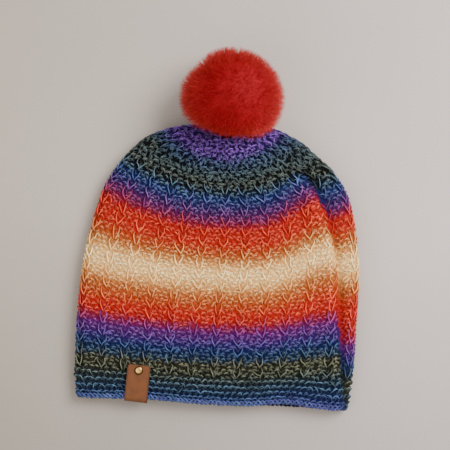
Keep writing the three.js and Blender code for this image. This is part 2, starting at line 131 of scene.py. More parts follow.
@dataclass
class HatForm:
    """The laid-out shape that every piece of yarn follows.

    turn goes once round the hat, from the right fold over the front. along goes from the
    hem to the closure. Lengths are in millimetres, and z is up from the surface.
    """

    flat_width: float = 248.6
    body_height: float = 248.0
    loft: float = 21.5
    wall: float = 4.0
    closure_radius: float = 3.2
    closure_up: float = 0.959
    closure_high: float = 1.35
    closure_tilt: float = 21.0
    closure_turn: float = 6.0
    pompom_out: float = 32.0
    dome: float = 0.16
    gathers: int = 9
    gather_rise: float = 2.2
    crease_depth: float = 4.8
    crease_width: float = 5.0
    crease_from: float = 0.03
    crease_to: float = 0.73
    crease_low: float = 0.975
    crease_high: float = 0.785
    crease_bend: float = 0.6
    hem_y: float = 0.0
    sections: tuple[Section, ...] = (
        Section(0.0, 0.953, -0.007, 0.0, 0.0, 0.0, 0.78, 0.0),
        Section(0.031, 0.976, -0.007, 0.032, 0.036, 0.034, 0.81, 0.0),
        Section(0.082, 0.99, -0.006, 0.09, 0.107, 0.1, 0.86, 0.0),
        Section(0.258, 0.994, -0.003, 0.268, 0.312, 0.288, 0.95, 0.0),
        Section(0.435, 0.974, 0.012, 0.462, 0.53, 0.502, 1.0, 0.0),
        Section(0.594, 0.878, 0.021, 0.629, 0.744, 0.698, 1.05, 0.0),
        Section(0.7, 0.757, 0.014, 0.738, 0.846, 0.81, 1.17, 0.0),
        Section(0.753, 0.66, 0.0, 0.787, 0.893, 0.86, 1.29, 0.02),
        Section(0.8, 0.543, -0.008, 0.828, 0.94, 0.907, 1.42, 0.12),
        Section(0.843, 0.39, -0.004, 0.866, 0.972, 0.944, 1.57, 0.3),
        Section(0.894, 0.225, 0.0, 0.904, 0.98, 0.968, 1.7, 0.6),
        Section(0.947, 0.11, 0.0, 0.934, 0.975, 0.974, 1.66, 0.88),
    )
    hem_waves: tuple[HemWave, ...] = (HemWave(-0.5, 34, 1.8), HemWave(0.52, 24, 3.8))
    wave_end: float = 0.16
    dents: tuple[Dent, ...] = (
        Dent(-0.2, 0.85, 9, 16, -3.0),
        Dent(-0.42, 0.82, 16, 12, 2.4),
        Dent(0.12, 0.86, 20, 12, 1.6),
        Dent(0.42, 0.3, 34, 46, 1.0),
        Dent(-0.35, 0.42, 40, 40, -1.0),
        Dent(0.2, 0.6, 36, 30, 0.9),
    )
    table: dict[str, Array] = field(default_factory=dict)

    def __post_init__(self) -> None:
        """Completes the table of sections with the closure's own ring."""
        tilt = math.radians(self.closure_tilt)
        lean = self.closure_radius * math.sin(tilt) / self.body_height
        reach = self.closure_radius * math.cos(tilt) / self.loft
        closure = Section(
            1.0,
            self.closure_radius / (self.flat_width / 2),
            0.0,
            self.closure_up - lean,
            self.closure_up,
            self.closure_up + lean,
            self.closure_high + reach,
            self.closure_high - reach,
        )
        rows = (*self.sections, closure)
        for name in Section.__dataclass_fields__:
            self.table[name] = np.array([getattr(row, name) for row in rows])

    def column(self, name: str, along: Array) -> Array:
        """A smooth curve through one column of the table of sections."""
        x, y = self.table["along"], self.table[name]
        last = len(x) - 1
        i = np.clip(np.searchsorted(x, along, side="left") - 1, 0, last - 1)
        row = np.arange(last + 1)
        low, high = np.maximum(row - 1, 0), np.minimum(row + 1, last)
        tangent = (y[high] - y[low]) / (x[high] - x[low])
        span = x[i + 1] - x[i]
        t = (along - x[i]) / span
        t2, t3 = t * t, t * t * t
        return (
            (2 * t3 - 3 * t2 + 1) * y[i]
            + (t3 - 2 * t2 + t) * span * tangent[i]
            + (3 * t2 - 2 * t3) * y[i + 1]
            + (t3 - t2) * span * tangent[i + 1]
        )

    @staticmethod
    def flattened(turn: Array, wide: Array, high: Array) -> tuple[Array, Array]:
        """A point of a flattened tube's section, across and up from its middle.

        wide and high are half the section's width and height.
        """
        bend = np.minimum(wide, high)
        straight = 2 * (wide - bend)
        arc = math.pi * bend
        s = (turn - np.floor(turn)) * 2 * (straight + arc)
        side = np.where(s < straight + arc, 1.0, -1.0)
        s = np.where(side < 0, s - straight - arc, s)
        lift = high / bend
        first = s / bend
        last = math.pi / 2 + (s - arc / 2 - straight) / bend
        x = np.where(s < arc / 2, wide - bend + bend * np.cos(first), wide - bend - (s - arc / 2))
        z = np.where(s < arc / 2, bend * np.sin(first), bend)
        beyond = s >= arc / 2 + straight
        x = np.where(beyond, bend - wide + bend * np.cos(last), x)
        z = np.where(beyond, bend * np.sin(last), z)
        return side * x, side * z * lift

    def middle(self, along: Array) -> Array:
        """How far to the right the middle of a section lies, in millimetres."""
        return self.column("shift", along) * self.flat_width / 2

    def hem_wave(self, x: Array, along: Array) -> Array:
        """How far the front layer is drawn up near the hem, in millimetres."""
        half = self.flat_width / 2
        rise = sum(w.rise * bell((x - w.across * half) / w.wide) for w in self.hem_waves)
        return rise * (1 - smoothstep(0.0, self.wave_end, along))

    def skin(self, turn: Array, along: Array) -> Array:
        """The outside of the fabric, before ribs and folds, in millimetres."""
        wide = self.column("width", along) * self.flat_width / 2
        under = self.column("under", along) * self.loft
        thick = self.column("top", along) * self.loft - under
        x, z = self.flattened(turn, wide, thick / 2)
        across = x / wide
        share = np.clip(z / thick + 0.5, 0, 1)
        blend = share * share * (3 - 2 * share)
        front, back = self.column("front", along), self.column("back", along)
        layer = back + (front - back) * blend
        rise = layer + (self.column("side", along) - layer) * across * across
        kept = 1 - self.dome * across * across * (1 - along**4)
        y = rise * self.body_height + self.hem_wave(x, along) * blend
        return np.stack([x + self.middle(along), y, under + thick * share * kept], axis=-1)

    def normal(self, turn: Array, along: Array) -> Array:
        """The direction out of the fabric."""
        step = 0.002
        low, high = np.maximum(along - step, 0), np.minimum(along + step, 1)
        ring = self.skin(turn + step, along) - self.skin(turn - step, along)
        up = self.skin(turn, high) - self.skin(turn, low)
        return unit(np.cross(up, ring))

    def crease_offset(self, turn: Array, along: Array) -> Array:
        """How far right of the joining line a point lies, in crease widths."""
        share = (along - self.crease_from) / (self.crease_to - self.crease_from)
        wide = self.column("width", along) * self.flat_width / 2
        bent = np.clip(share, 0.0, 1.0) ** self.crease_bend
        line = (self.crease_low + (self.crease_high - self.crease_low) * bent) * wide
        return (self.skin(turn, along)[..., 0] - self.middle(along) - line) / self.crease_width

    def drape(self, turn: Array, along: Array) -> Array:
        """Hills and hollows that move the whole wall, in millimetres."""
        front = (turn - np.floor(turn)) < 0.5
        share = (along - self.crease_from) / (self.crease_to - self.crease_from)
        inside = (share > 0) & (share < 1)
        d = self.crease_offset(turn, along)
        strength = np.sqrt(np.sin(math.pi * np.clip(share, 1e-6, 1 - 1e-6) ** self.crease_bend))
        profile = 0.45 * bell(d + 1.6) - bell(d)
        out = np.where(inside, self.crease_depth * strength * profile, 0.0)
        x = self.skin(turn, along)[..., 0] - self.middle(along)
        for dent in self.dents:
            wide = float(self.column("width", np.array(dent.along))) * self.flat_width / 2
            dx = (x - dent.across * wide) / dent.wide
            dy = (along - dent.along) * FABRIC_LENGTH / dent.long
            out = out + dent.rise * bell(np.hypot(dx, dy))
        return np.where(front, out, 0.0)

    def gathered(self, turn: Array, along: Array) -> Array:
        """The lobes drawn in round the closure, in millimetres."""
        share = smoothstep(0.78, 0.9, along) * (1 - smoothstep(0.93, 1.0, along))
        return self.gather_rise * share * np.cos(TAU * (self.gathers * turn - 0.1))

    def place(self, turn: Array, along: Array, out: Array) -> Array:
        """A point in or on the fabric, in metres. out is millimetres out of its surface."""
        inside = np.clip(along, 0.0, 1.0)
        lift = out + self.drape(turn, inside) + self.gathered(turn, inside)
        point = self.skin(turn, inside) + self.normal(turn, inside) * lift[..., None]
        point[..., 2] = np.maximum(point[..., 2], 0.0)
        point[..., 1] += self.hem_y
        return point * MM

    def girth(self, along: float) -> float:
        """The fabric's length round the hat, in millimetres."""
        turn = np.linspace(0, 1, 97)
        ring = self.skin(turn, np.full_like(turn, along))
        return float(np.linalg.norm(np.diff(ring, axis=0), axis=1).sum())


@dataclass(frozen=True)
class Dye:
    """One colour of the self-striping yarn, and where along the hat it comes.

    The first colour is painted on a strand's top as a highlight; the second is painted shade on its flanks
    and in the gaps beside it.
    """

    along: float
    thread: Colour
    ground: Colour


@dataclass(frozen=True)
class DyePatch:
    """A place where the yarn's colour runs ahead or behind, in shares of the hat."""

    around: float
    wide: float
    along: float
    long: float
    shift: float


def linear(colour: Colour) -> tuple[float, float, float, float]:
    """A screen colour as Blender's linear colour."""
    return (*(c / 12.92 if c <= 0.04045 else ((c + 0.055) / 1.055) ** 2.4 for c in colour), 1.0)


@dataclass(frozen=True)
class YarnFinish:
    """The twisted, softly shining yarn, dyed in long bands, with a painted highlight on each strand's top and
    painted shade on its flanks and lower down.
    """

    spot_scale: float = 260.0
    fibre_scale: float = 2600.0
    slant: float = 0.95
    dyes: tuple[Dye, ...] = (
        Dye(0.0, (0.33, 0.34, 0.58), (0.07, 0.09, 0.28)),
        Dye(0.02, (0.31, 0.4, 0.6), (0.06, 0.1, 0.25)),
        Dye(0.044, (0.35, 0.49, 0.6), (0.05, 0.1, 0.2)),
        Dye(0.072, (0.4, 0.49, 0.5), (0.07, 0.11, 0.15)),
        Dye(0.095, (0.5, 0.53, 0.44), (0.1, 0.12, 0.1)),
        Dye(0.135, (0.53, 0.52, 0.4), (0.13, 0.13, 0.08)),
        Dye(0.156, (0.34, 0.45, 0.53), (0.05, 0.11, 0.18)),
        Dye(0.188, (0.33, 0.43, 0.64), (0.05, 0.1, 0.27)),
        Dye(0.212, (0.48, 0.38, 0.7), (0.15, 0.08, 0.34)),
        Dye(0.25, (0.64, 0.32, 0.66), (0.31, 0.05, 0.36)),
        Dye(0.272, (0.78, 0.3, 0.42), (0.5, 0.06, 0.18)),
        Dye(0.29, (0.96, 0.35, 0.23), (0.65, 0.09, 0.06)),
        Dye(0.315, (1.0, 0.39, 0.24), (0.68, 0.11, 0.06)),
        Dye(0.345, (1.0, 0.61, 0.35), (0.66, 0.25, 0.09)),
        Dye(0.374, (1.0, 0.74, 0.45), (0.72, 0.39, 0.17)),
        Dye(0.4, (1.0, 0.93, 0.63), (0.92, 0.65, 0.37)),
        Dye(0.425, (1.0, 1.0, 0.8), (0.99, 0.79, 0.49)),
        Dye(0.448, (1.0, 1.0, 0.79), (0.99, 0.78, 0.48)),
        Dye(0.4665, (1.0, 0.92, 0.62), (0.9, 0.63, 0.35)),
        Dye(0.49, (1.0, 0.74, 0.46), (0.68, 0.37, 0.16)),
        Dye(0.514, (1.0, 0.57, 0.34), (0.66, 0.23, 0.09)),
        Dye(0.538, (0.98, 0.39, 0.23), (0.67, 0.11, 0.06)),
        Dye(0.585, (0.96, 0.33, 0.22), (0.65, 0.09, 0.06)),
        Dye(0.604, (0.74, 0.29, 0.42), (0.46, 0.06, 0.16)),
        Dye(0.63, (0.62, 0.32, 0.6), (0.29, 0.06, 0.28)),
        Dye(0.658, (0.45, 0.39, 0.66), (0.13, 0.08, 0.29)),
        Dye(0.69, (0.37, 0.48, 0.7), (0.06, 0.12, 0.3)),
        Dye(0.712, (0.4, 0.53, 0.6), (0.03, 0.07, 0.13)),
        Dye(0.74, (0.44, 0.48, 0.42), (0.03, 0.03, 0.03)),
        Dye(0.79, (0.36, 0.46, 0.49), (0.02, 0.04, 0.06)),
        Dye(0.835, (0.34, 0.43, 0.62), (0.03, 0.05, 0.14)),
        Dye(0.858, (0.6, 0.38, 0.8), (0.12, 0.04, 0.28)),
    )

    def ramps(self, shade: "Shade") -> tuple[Socket, Socket]:
        """The colours of the painted highlight and of the painted shade along the hat."""
        place = shade.attribute("dye")
        thread = shade.ramp(place, [(d.along, d.thread) for d in self.dyes])
        return thread, shade.ramp(place, [(d.along, d.ground) for d in self.dyes])

    def make(self) -> Material:
        """Builds the material."""
        shade = Shade("yarn")
        thread, ground = self.ramps(shade)
        crest = shade.attribute("crest")
        spot = shade.noise(self.spot_scale)
        # painted shade: the lower a point of a strand lies, the darker it is painted; spot adds random tone
        painted_depth_shade = shade.spread(shade.attribute("lift"), -1.5, 0.4, 0.42, 1.2)
        light = shade.times(shade.uneven(spot, 0.85, 1.28), painted_depth_shade)
        # painted light: each corner's share mixes the painted shade colour into the painted highlight colour
        colour = shade.scaled(shade.mix(crest, ground, thread), light)
        plies = shade.times(shade.plies(self.slant), 0.8)
        fibre = shade.times(shade.noise(self.fibre_scale, 2.0), 0.35)
        bump = shade.bump(shade.plus(plies, fibre), 0.55, 0.00035)
        return shade.surface(colour, 0.6, 0.3, Normal=bump)


class Shade:
    """A small helper that wires one material's nodes."""

    def __init__(self, name: str) -> None:
        """Starts a material with an empty tree."""
        self.material = bpy.data.materials.new(name)
        self.material.use_nodes = True
        self.tree = self.material.node_tree
        self.tree.nodes.clear()

    def node(self, kind: str, inputs: dict | None = None, **options: object) -> bpy.types.Node:
        """Adds a node, sets its options, and sets or links its inputs."""
        node = self.tree.nodes.new(kind)
        for key, value in options.items():
            setattr(node, key, value)
        for key, value in (inputs or {}).items():
            if isinstance(value, Socket):
                self.tree.links.new(value, node.inputs[key])
            else:
                node.inputs[key].default_value = value
        return node

    def attribute(self, name: str) -> Socket:
        """A number stored on the mesh."""
        return self.node("ShaderNodeAttribute", attribute_name=name).outputs["Fac"]

    def place(self) -> Socket:
        """Object coordinates."""
        return self.node("ShaderNodeTexCoord").outputs["Object"]

    def parts(self, place: Socket) -> list[Socket]:
        """A place's x, y and z."""
        return list(self.node("ShaderNodeSeparateXYZ", {0: place}).outputs)

    def strand_place(self) -> list[Socket]:
        """The UV map that runs along the yarn and round it."""
        return self.parts(self.node("ShaderNodeUVMap", uv_map="yarn").outputs[0])

    def from_middle(self, middle: tuple[float, float]) -> list[Socket]:
        """Metres to the right of a place and up from it, seen from above."""
        parts = self.parts(self.place())
        return [self.maths("SUBTRACT", part, at) for part, at in zip(parts, middle)]

    def maths(self, operation: str, a: object, b: object = 0.0) -> Socket:
        """One Math node."""
        return self.node("ShaderNodeMath", {0: a, 1: b}, operation=operation).outputs[0]

    def times(self, a: object, b: object) -> Socket:
        """One number times another."""
        return self.maths("MULTIPLY", a, b)

    def plus(self, a: object, b: object) -> Socket:
        """One number and another."""
        return self.maths("ADD", a, b)

    def spread(
        self, value: object, low: float, high: float, to_low: float = 0.0, to_high: float = 1.0
    ) -> Socket:
        """Maps one range to another, clamped."""
        numbers = {"From Min": low, "From Max": high, "To Min": to_low, "To Max": to_high}
        return self.node("ShaderNodeMapRange", {"Value": value, **numbers}).outputs[0]

    def noise(self, scale: float, detail: float = 3.0) -> Socket:
        """Soft noise between 0 and 1."""
        inputs = {"Vector": self.place(), "Scale": scale, "Detail": detail}
        return self.node("ShaderNodeTexNoise", inputs).outputs[0]

    def uneven(self, noise: Socket, low: float, high: float) -> Socket:
        """Soft noise, spread from low to high."""
        return self.spread(noise, 0.3, 0.7, low, high)

    def ramp(self, value: object, stops: list[tuple[float, Colour]]) -> Socket:
        """A colour ramp through stops."""
        node = self.node("ShaderNodeValToRGB", {0: value})
        elements = node.color_ramp.elements
        while len(elements) < len(stops):
            elements.new(0.5)
        for element, (place, colour) in zip(elements, stops):
            element.position = place
            element.color = linear(colour)
        return node.outputs["Color"]

    def mix(self, share: object, a: object, b: object) -> Socket:
        """Mixes two colours."""
        return self.node("ShaderNodeMix", {"Factor": share, 6: a, 7: b}, data_type="RGBA").outputs[2]

    def scaled(self, colour: object, light: object) -> Socket:
        """A colour times a number."""
        inputs = {0: colour, "Scale": light}
        return self.node("ShaderNodeVectorMath", inputs, operation="SCALE").outputs[0]

    def plies(self, slant: float, plies: float = 3.0) -> Socket:
        """The grooves between a yarn's plies, in turns of slant a millimetre."""
        along, around, _ = self.strand_place()
        turn = self.plus(self.times(along, slant), self.times(around, plies))
        return self.maths("ABSOLUTE", self.maths("SINE", self.times(turn, TAU)))

    def bump(self, height: object, strength: float, distance: float) -> Socket:
        """A bumped normal."""
        inputs = {"Height": height, "Strength": strength, "Distance": distance}
        return self.node("ShaderNodeBump", inputs).outputs[0]

    def surface(self, colour: object, roughness: object, specular: float = 0.5, **more: object) -> Material:
        """Adds the shader, with any more of its inputs by name, and gives the finished material."""
        inputs = {"Base Color": colour, "Roughness": roughness, "Specular IOR Level": specular, **more}
        shader = self.node("ShaderNodeBsdfPrincipled", inputs)
        self.node("ShaderNodeOutputMaterial", {0: shader.outputs[0]})
        return self.material


def placed(name: str, data: bpy.types.ID) -> Piece:
    """Puts a mesh, lamp or camera into the scene."""
    obj = bpy.data.objects.new(name, data)
    bpy.context.scene.collection.objects.link(obj)
    return obj


def mesh_of(shape: bmesh.types.BMesh, name: str) -> Mesh:
    """A mesh made from a scratch shape, which is freed."""
    mesh = bpy.data.meshes.new(name)
    shape.to_mesh(mesh)
    shape.free()
    return mesh


def store(mesh: Mesh, key: str, values: Array) -> None:
    """Stores a number on each corner."""
    layer = mesh.attributes.new(key, "FLOAT", "POINT")
    layer.data.foreach_set("value", values.astype(np.float32).ravel())


def piece_from(
    name: str,
    places: Array,
    faces: Array,
    material: Material,
    numbers: dict[str, Array],
    uv: Array | None = None,
) -> Piece:
    """Makes one object from joined arrays, riding on the part.

    places are in metres, and each face has four corners. numbers are stored on each corner,
    and uv, the yarn's own map, on each corner of each face.
    """
    mesh = bpy.data.meshes.new(name)
    mesh.vertices.add(len(places))
    mesh.vertices.foreach_set("co", np.ascontiguousarray(places, dtype=np.float32).ravel())
    count, size = faces.shape
    mesh.loops.add(count * size)
    mesh.loops.foreach_set("vertex_index", np.ascontiguousarray(faces, dtype=np.int32).ravel())
    mesh.polygons.add(count)
    mesh.polygons.foreach_set("loop_start", np.arange(0, count * size, size, dtype=np.int32))
    mesh.update(calc_edges=True)
    mesh.shade_smooth()
    for key, values in numbers.items():
        store(mesh, key, values)
    if uv is not None:
        layer = mesh.uv_layers.new(name="yarn")
        layer.uv.foreach_set("vector", uv.astype(np.float32).ravel())
    mesh.validate()
    return finished(name, mesh, material)


def finished(name: str, mesh: Mesh, material: Material) -> Piece:
    """Links a mesh into the scene with its finish, riding on the part."""
    mesh.materials.append(material)
    obj = placed(name, mesh)
    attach(obj, "root")
    log.info("%s: %d faces", name, len(mesh.polygons))
    return obj


def curve_through(points: Array, count: int) -> Array:
    """Smooth runs of count points, from strands by control points by three."""
    before = 2 * points[:, :1] - points[:, 1:2]
    after = 2 * points[:, -1:] - points[:, -2:-1]
    ends = np.concatenate([before, points, after], axis=1)
    t = np.linspace(0, points.shape[1] - 1, count)
    i = np.minimum(t.astype(int), points.shape[1] - 2)
    f = (t - i)[None, :, None]
    a, b, c, d = (ends[:, i + k] for k in range(4))
    return 0.5 * (2 * b + (c - a) * f + (2 * a - 5 * b + 4 * c - d) * f**2 + (3 * b - a - 3 * c + d) * f**3)


def tubes(path: Array, thick: Array, side: Array, over: Array, angle: Array) -> tuple[Array, Array]:
    """Sweeps a ring of corners along each strand, kept above the surface, and their faces.

    path holds each strand's points in metres, and thick half its thickness there. side and
    over are the directions across it, and angle is where the corners lie round the ring.
    """
    ring = path[:, :, None] + thick[:, :, None, None] * (
        np.cos(angle)[..., None] * side[:, :, None] + np.sin(angle)[..., None] * over[:, :, None]
    )
    ring[..., 2] = np.maximum(ring[..., 2], 0.0)
    base = np.arange(math.prod(ring.shape[:3])).reshape(ring.shape[:3])
    beside = np.roll(base, -1, axis=2)
    faces = np.stack([base[:, :-1], beside[:, :-1], beside[:, 1:], base[:, 1:]], axis=-1)
    return ring, faces.reshape(-1, 4)


@dataclass
class Strands:
    """Runs of yarn, collected and then made as one joined mesh.

    ends is how thick a strand is at its ends, as a share of its middle. flank and top set how much painted
    highlight its sides and its top get, so the top is painted light and the sides painted shade. run is how
    far its colour follows the bands.
    """

    form: HatForm
    sides: int = 4
    ends: float = 0.82
    flank: float = 0.36
    top: float = 0.66
    run: float = 0.45
    runs: list[tuple[Array, float, Array, Array]] = field(default_factory=list)

    def add(self, chart: Array, radius: float, tone: Array, dye: Array, count: int) -> None:
        """Adds strands of equal make, each with its own tone and shift of colour.

        chart holds turn, along and millimetres out for each control point. radius is half the
        yarn's thickness in millimetres, and count how many points a strand gets.
        """
        self.runs.append((curve_through(chart, count), radius, tone, dye))

    def swept(self, path: Array, radius: float, tone: Array, dye: Array) -> tuple[Array, ...]:
        """One group's corners, faces, UVs and stored numbers: colour, share of painted highlight against
        painted shade, and height.
        """
        strands, count, _ = path.shape
        turn, along, out = path[..., 0], path[..., 1], path[..., 2]
        place = self.form.place(turn, along, out)
        up = self.form.normal(turn, np.clip(along, 0, 1))
        ahead = unit(np.gradient(place, axis=1), TINY)
        side = unit(np.cross(ahead, up), TINY)
        angle = TAU * np.arange(self.sides) / self.sides + math.pi / 2
        taper = self.ends + (1 - self.ends) * np.sin(np.linspace(0, math.pi, count))
        thick = np.broadcast_to(radius * MM * taper, (strands, count))
        ring, faces = tubes(place, thick, side, np.cross(side, ahead), angle)
        step = np.linalg.norm(np.diff(place, axis=1), axis=-1) / MM
        run_mm = np.concatenate([np.zeros((strands, 1)), np.cumsum(step, axis=1)], axis=1)
        around = np.arange(self.sides + 1) / self.sides
        u0, u1, v0, v1 = run_mm[:, :-1], run_mm[:, 1:], around[:-1], around[1:]
        u, v = np.stack([u0, u0, u1, u1], axis=-1)[:, :, None], np.stack([v0, v1, v1, v0], axis=-1)
        uv = np.stack(np.broadcast_arrays(u, v), axis=-1)
        # painted light: higher strands and each strand's top get more of the painted highlight colour, sides
        # and lower strands more painted shade; tone adds random spread
        high = 0.6 + 0.3 * out[:, :, None]
        crest = tone[:, None, None] * high * (self.flank + self.top * np.sin(angle))
        lift = out[:, :, None] + np.sin(angle) * radius
        own = self.run * along + (1 - self.run) * along[:, :1]
        dyes = np.broadcast_to((own + dye[:, None])[:, :, None], crest.shape)
        numbers = np.stack([dyes.ravel(), np.clip(crest, 0, 1).ravel(), lift.ravel()])
        return ring.reshape(-1, 3), faces, uv.reshape(-1, 2), numbers

    def piece(self, name: str, material: Material, slot: str) -> Piece:
        """Makes the joined mesh."""
        parts = [self.swept(*run) for run in self.runs]
        starts = np.cumsum([0] + [len(p[0]) for p in parts[:-1]])
        faces = np.concatenate([p[1] + s for p, s in zip(parts, starts)])
        places, uv = (np.concatenate([p[k] for p in parts]) for k in (0, 2))
        dye, crest, lift = np.concatenate([p[3] for p in parts], axis=1)
        numbers = {"dye": dye, "crest": crest, "lift": lift}
        return piece_from(name, places, faces, material, numbers, uv)


class Stitch(Enum):
    """Strand shapes, as stitches across, rounds along and millimetres out."""

    POST_LEFT = (
        *((0.04, -0.1, 0.2), (-0.1, 0.06, 1.9), (-0.4, 0.3, 2.2)),
        *((-0.68, 0.58, 2.0), (-0.74, 0.84, 1.4), (-0.6, 1.0, 0.2)),
    )
    POST_RIGHT = (
        *((-0.04, -0.1, 0.2), (0.1, 0.06, 2.0), (0.4, 0.3, 2.3)),
        *((0.68, 0.58, 2.0), (0.74, 0.84, 1.4), (0.6, 1.0, 0.2)),
    )
    HEART = ((-0.5, 0.72, -0.2), (-0.2, 0.62, 0.7), (0.1, 0.5, 0.9), (0.25, 0.66, 0.8), (0.5, 0.8, -0.2))
    BAR = ((-0.5, -0.04, -0.2), (-0.3, 0.08, 1.2), (0.0, 0.14, 1.6), (0.28, 0.07, 1.3), (0.5, -0.05, -0.2))
    RISING = ((-0.5, -0.1, -0.2), (-0.2, 0.02, 1.1), (0.14, 0.16, 1.4), (0.5, 0.2, 0.0))
    FALLING = ((-0.5, 0.2, -0.2), (-0.16, 0.14, 1.3), (0.18, 0.0, 1.2), (0.46, -0.12, 0.0))
    CURL = ((-0.34, 0.3, -0.2), (-0.2, 0.12, 1.3), (0.1, 0.02, 1.6), (0.34, 0.14, 1.4), (0.26, 0.34, -0.1))
    LEG = ((0.16, -0.16, -0.2), (0.04, 0.0, 0.9), (-0.16, 0.14, 1.0), (0.1, 0.34, -0.2))
    EDGE_OUT = ((-0.8, -0.3, 0.2), (-0.4, -0.12, 1.5), (0.05, 0.14, 1.9), (0.45, 0.26, 1.5), (0.8, 0.16, 0.4))
    EDGE_IN = ((-0.8, 0.26, 0.3), (-0.35, 0.12, 1.3), (0.1, -0.14, 1.6), (0.45, -0.28, 1.4), (0.8, -0.2, 0.4))


@dataclass
class CrochetCrown:
    """The patterned rounds: columns of V-shaped posts with short loops between them.

    pitch is a round's share of the length. jog is how many rounds the colours step at the
    joining line, and climb how many millimetres they rise beside it. ridge and valley are
    millimetres of relief along it. jitter moves a strand's points, in stitches, rounds and
    millimetres.
    """

    form: HatForm
    end: float = 0.995
    pitch: float = 9.4 / FABRIC_LENGTH
    stitch: float = 4.6
    columns: int = 26
    posts_end: float = 0.74
    rows: int = 3
    post_radius: float = 0.56
    post_spin: float = 0.16
    # post_tone and heart_tone set how much painted highlight the posts and their hearts get
    post_tone: float = 0.8
    heart_tone: float = 0.6
    loop_radius: float = 0.55
    uneven_post: float = 0.0012
    uneven_loop: float = 0.0026
    jog: float = 1.15
    climb: float = 11.0
    ridge: float = 0.5
    valley: float = 1.1
    valley_shade: float = 0.75
    bed: float = 1.9
    jitter: tuple[float, float, float] = (0.07, 0.035, 0.16)
    tone_spread: float = 0.26
    dye_spread: float = 0.005
    seed: int = 7
    patches: tuple[DyePatch, ...] = (
        DyePatch(0.45, 0.1, 0.88, 0.04, 0.035),
        DyePatch(0.07, 0.05, 0.855, 0.03, 0.025),
        DyePatch(0.46, 0.035, 0.79, 0.018, -0.05),
    )

    def dye_shift(self, turn: Array, along: Array) -> Array:
        """How far a stitch's colour runs ahead: the colours step where each round is joined."""
        around = turn % 1.0
        right = (around < 0.5) & (self.form.crease_offset(turn, along) > -0.2)
        low = 1 - smoothstep(0.25, 0.45, along)
        top = 1 - smoothstep(0.66, 0.8, along)
        level = 1 - smoothstep(0.2, 0.32, along) * (1 - smoothstep(0.52, 0.6, along))
        step = (self.jog + 0.55 * low) * np.where(right, top * level, around * 0.55)
        climb = self.climb * (1 - smoothstep(0.07, 0.18, around)) * (1 - 0.6 * low) * top * ~right
        shift = step * self.pitch - climb / FABRIC_LENGTH
        for patch in self.patches:
            near = bell((around - patch.around) / patch.wide)
            shift = shift + patch.shift * near * bell((along - patch.along) / patch.long)
        return shift

    def scatter(
        self,
        rng: Rng,
        shape: Stitch,
        turn: Array,
        along: Array,
        girth: float,
        lift: float = 0.0,
        spin: float = 0.3,
        size: float = 1.0,
    ) -> Array:
        """Places one shape at many stitches, each a little different.

        Args:
            rng: Seeded numbers.
            shape: The strand's shape.
            turn: Each stitch's place round the hat.
            along: Each stitch's place along the fabric.
            girth: The round's length in millimetres.
            lift: Millimetres added to the shape's height.
            spin: How unevenly the shapes are turned, in radians.
            size: The shape's length against its usual one.
        """
        points = np.repeat(np.array(shape.value)[None], len(turn), axis=0)
        angle = rng.normal(0, spin, len(turn))[:, None]
        middle = points[..., :2].mean(axis=1, keepdims=True)
        tall = self.pitch * FABRIC_LENGTH
        x = (points[..., 0] - middle[..., 0]) * self.stitch * size
        y = (points[..., 1] - middle[..., 1]) * tall * size
        points[..., 0] = middle[..., 0] + (x * np.cos(angle) - y * np.sin(angle)) / self.stitch
        points[..., 1] = middle[..., 1] + (x * np.sin(angle) + y * np.cos(angle)) / tall
        points += rng.normal(0, 1, points.shape) * np.array(self.jitter)
        points[..., 0] *= 1 + 0.1 * rng.normal(0, 1, (len(turn), 1))
        chart = np.empty_like(points)
        chart[..., 0] = turn[:, None] + points[..., 0] * self.stitch / girth
        chart[..., 1] = along[:, None] + points[..., 1] * self.pitch
        chart[..., 2] = points[..., 2] + lift - self.bed
        return chart

    def lay_round(self, strands: Strands, along: float, index: int) -> None:
        """Lays one round of the pattern."""
        rng = np.random.default_rng(self.seed * 1000 + index)
        girth = self.form.girth(min(along, 0.97))
        upper = float(smoothstep(0.68, 0.78, np.array(along)))
        count = max(12, round(girth / self.stitch * (1 - 0.24 * upper)))
        turn = np.arange(count) / count
        loops = turn
        if along < self.posts_end:
            columns = self.columns
            posts = (np.arange(columns) + 0.5) / columns
            nearest = (np.floor(turn * columns) + 0.5) / columns
            loops = turn[np.abs(turn - nearest) > 0.5 / count]
            at = along + rng.normal(0, self.uneven_post, columns)
            for shape in (Stitch.POST_LEFT, Stitch.POST_RIGHT):
                chart = self.scatter(rng, shape, posts, at, girth, spin=self.post_spin)
                self.add(strands, rng, chart, self.post_radius, self.post_tone, 8)
            chart = self.scatter(rng, Stitch.HEART, posts, at, girth)
            self.add(strands, rng, chart, self.loop_radius, self.heart_tone, 6)
        # glow gives the upper rounds' loops more painted highlight
        spin, glow, size = 0.4 + 0.45 * upper, 1 + 0.16 * upper, 1 + 0.3 * upper
        for row in range(self.rows):
            at = along + row / self.rows * self.pitch + rng.normal(0, self.uneven_loop, len(loops))
            shift = loops + (row % 2) * 0.5 / count + rng.normal(0, self.uneven_post, len(loops))
            slant = (Stitch.RISING, Stitch.FALLING)[(row + index) % 2]
            last = (Stitch.LEG, Stitch.CURL)[int(along > self.posts_end)]
            for shape, lift, tone in ((Stitch.BAR, 0.1, 1.0), (slant, 0.0, 0.9), (last, 0.0, 0.8)):
                chart = self.scatter(rng, shape, shift, at, girth, lift, spin, size)
                self.add(strands, rng, chart, self.loop_radius, tone * glow, 5)

    def add(self, strands: Strands, rng: Rng, chart: Array, radius: float, tone: float, count: int) -> None:
        """Adds strands with their own tone and colour."""
        middle = chart[:, 2]
        joint = self.form.crease_offset(middle[:, 0], middle[:, 1])
        front = (middle[:, 0] % 1.0 < 0.5) & (middle[:, 1] < self.posts_end)
        relief = self.ridge * bell((joint + 1.5) / 0.7) - self.valley * bell(joint / 0.5)
        chart[..., 2] += np.where(front, relief, 0.0)[:, None]
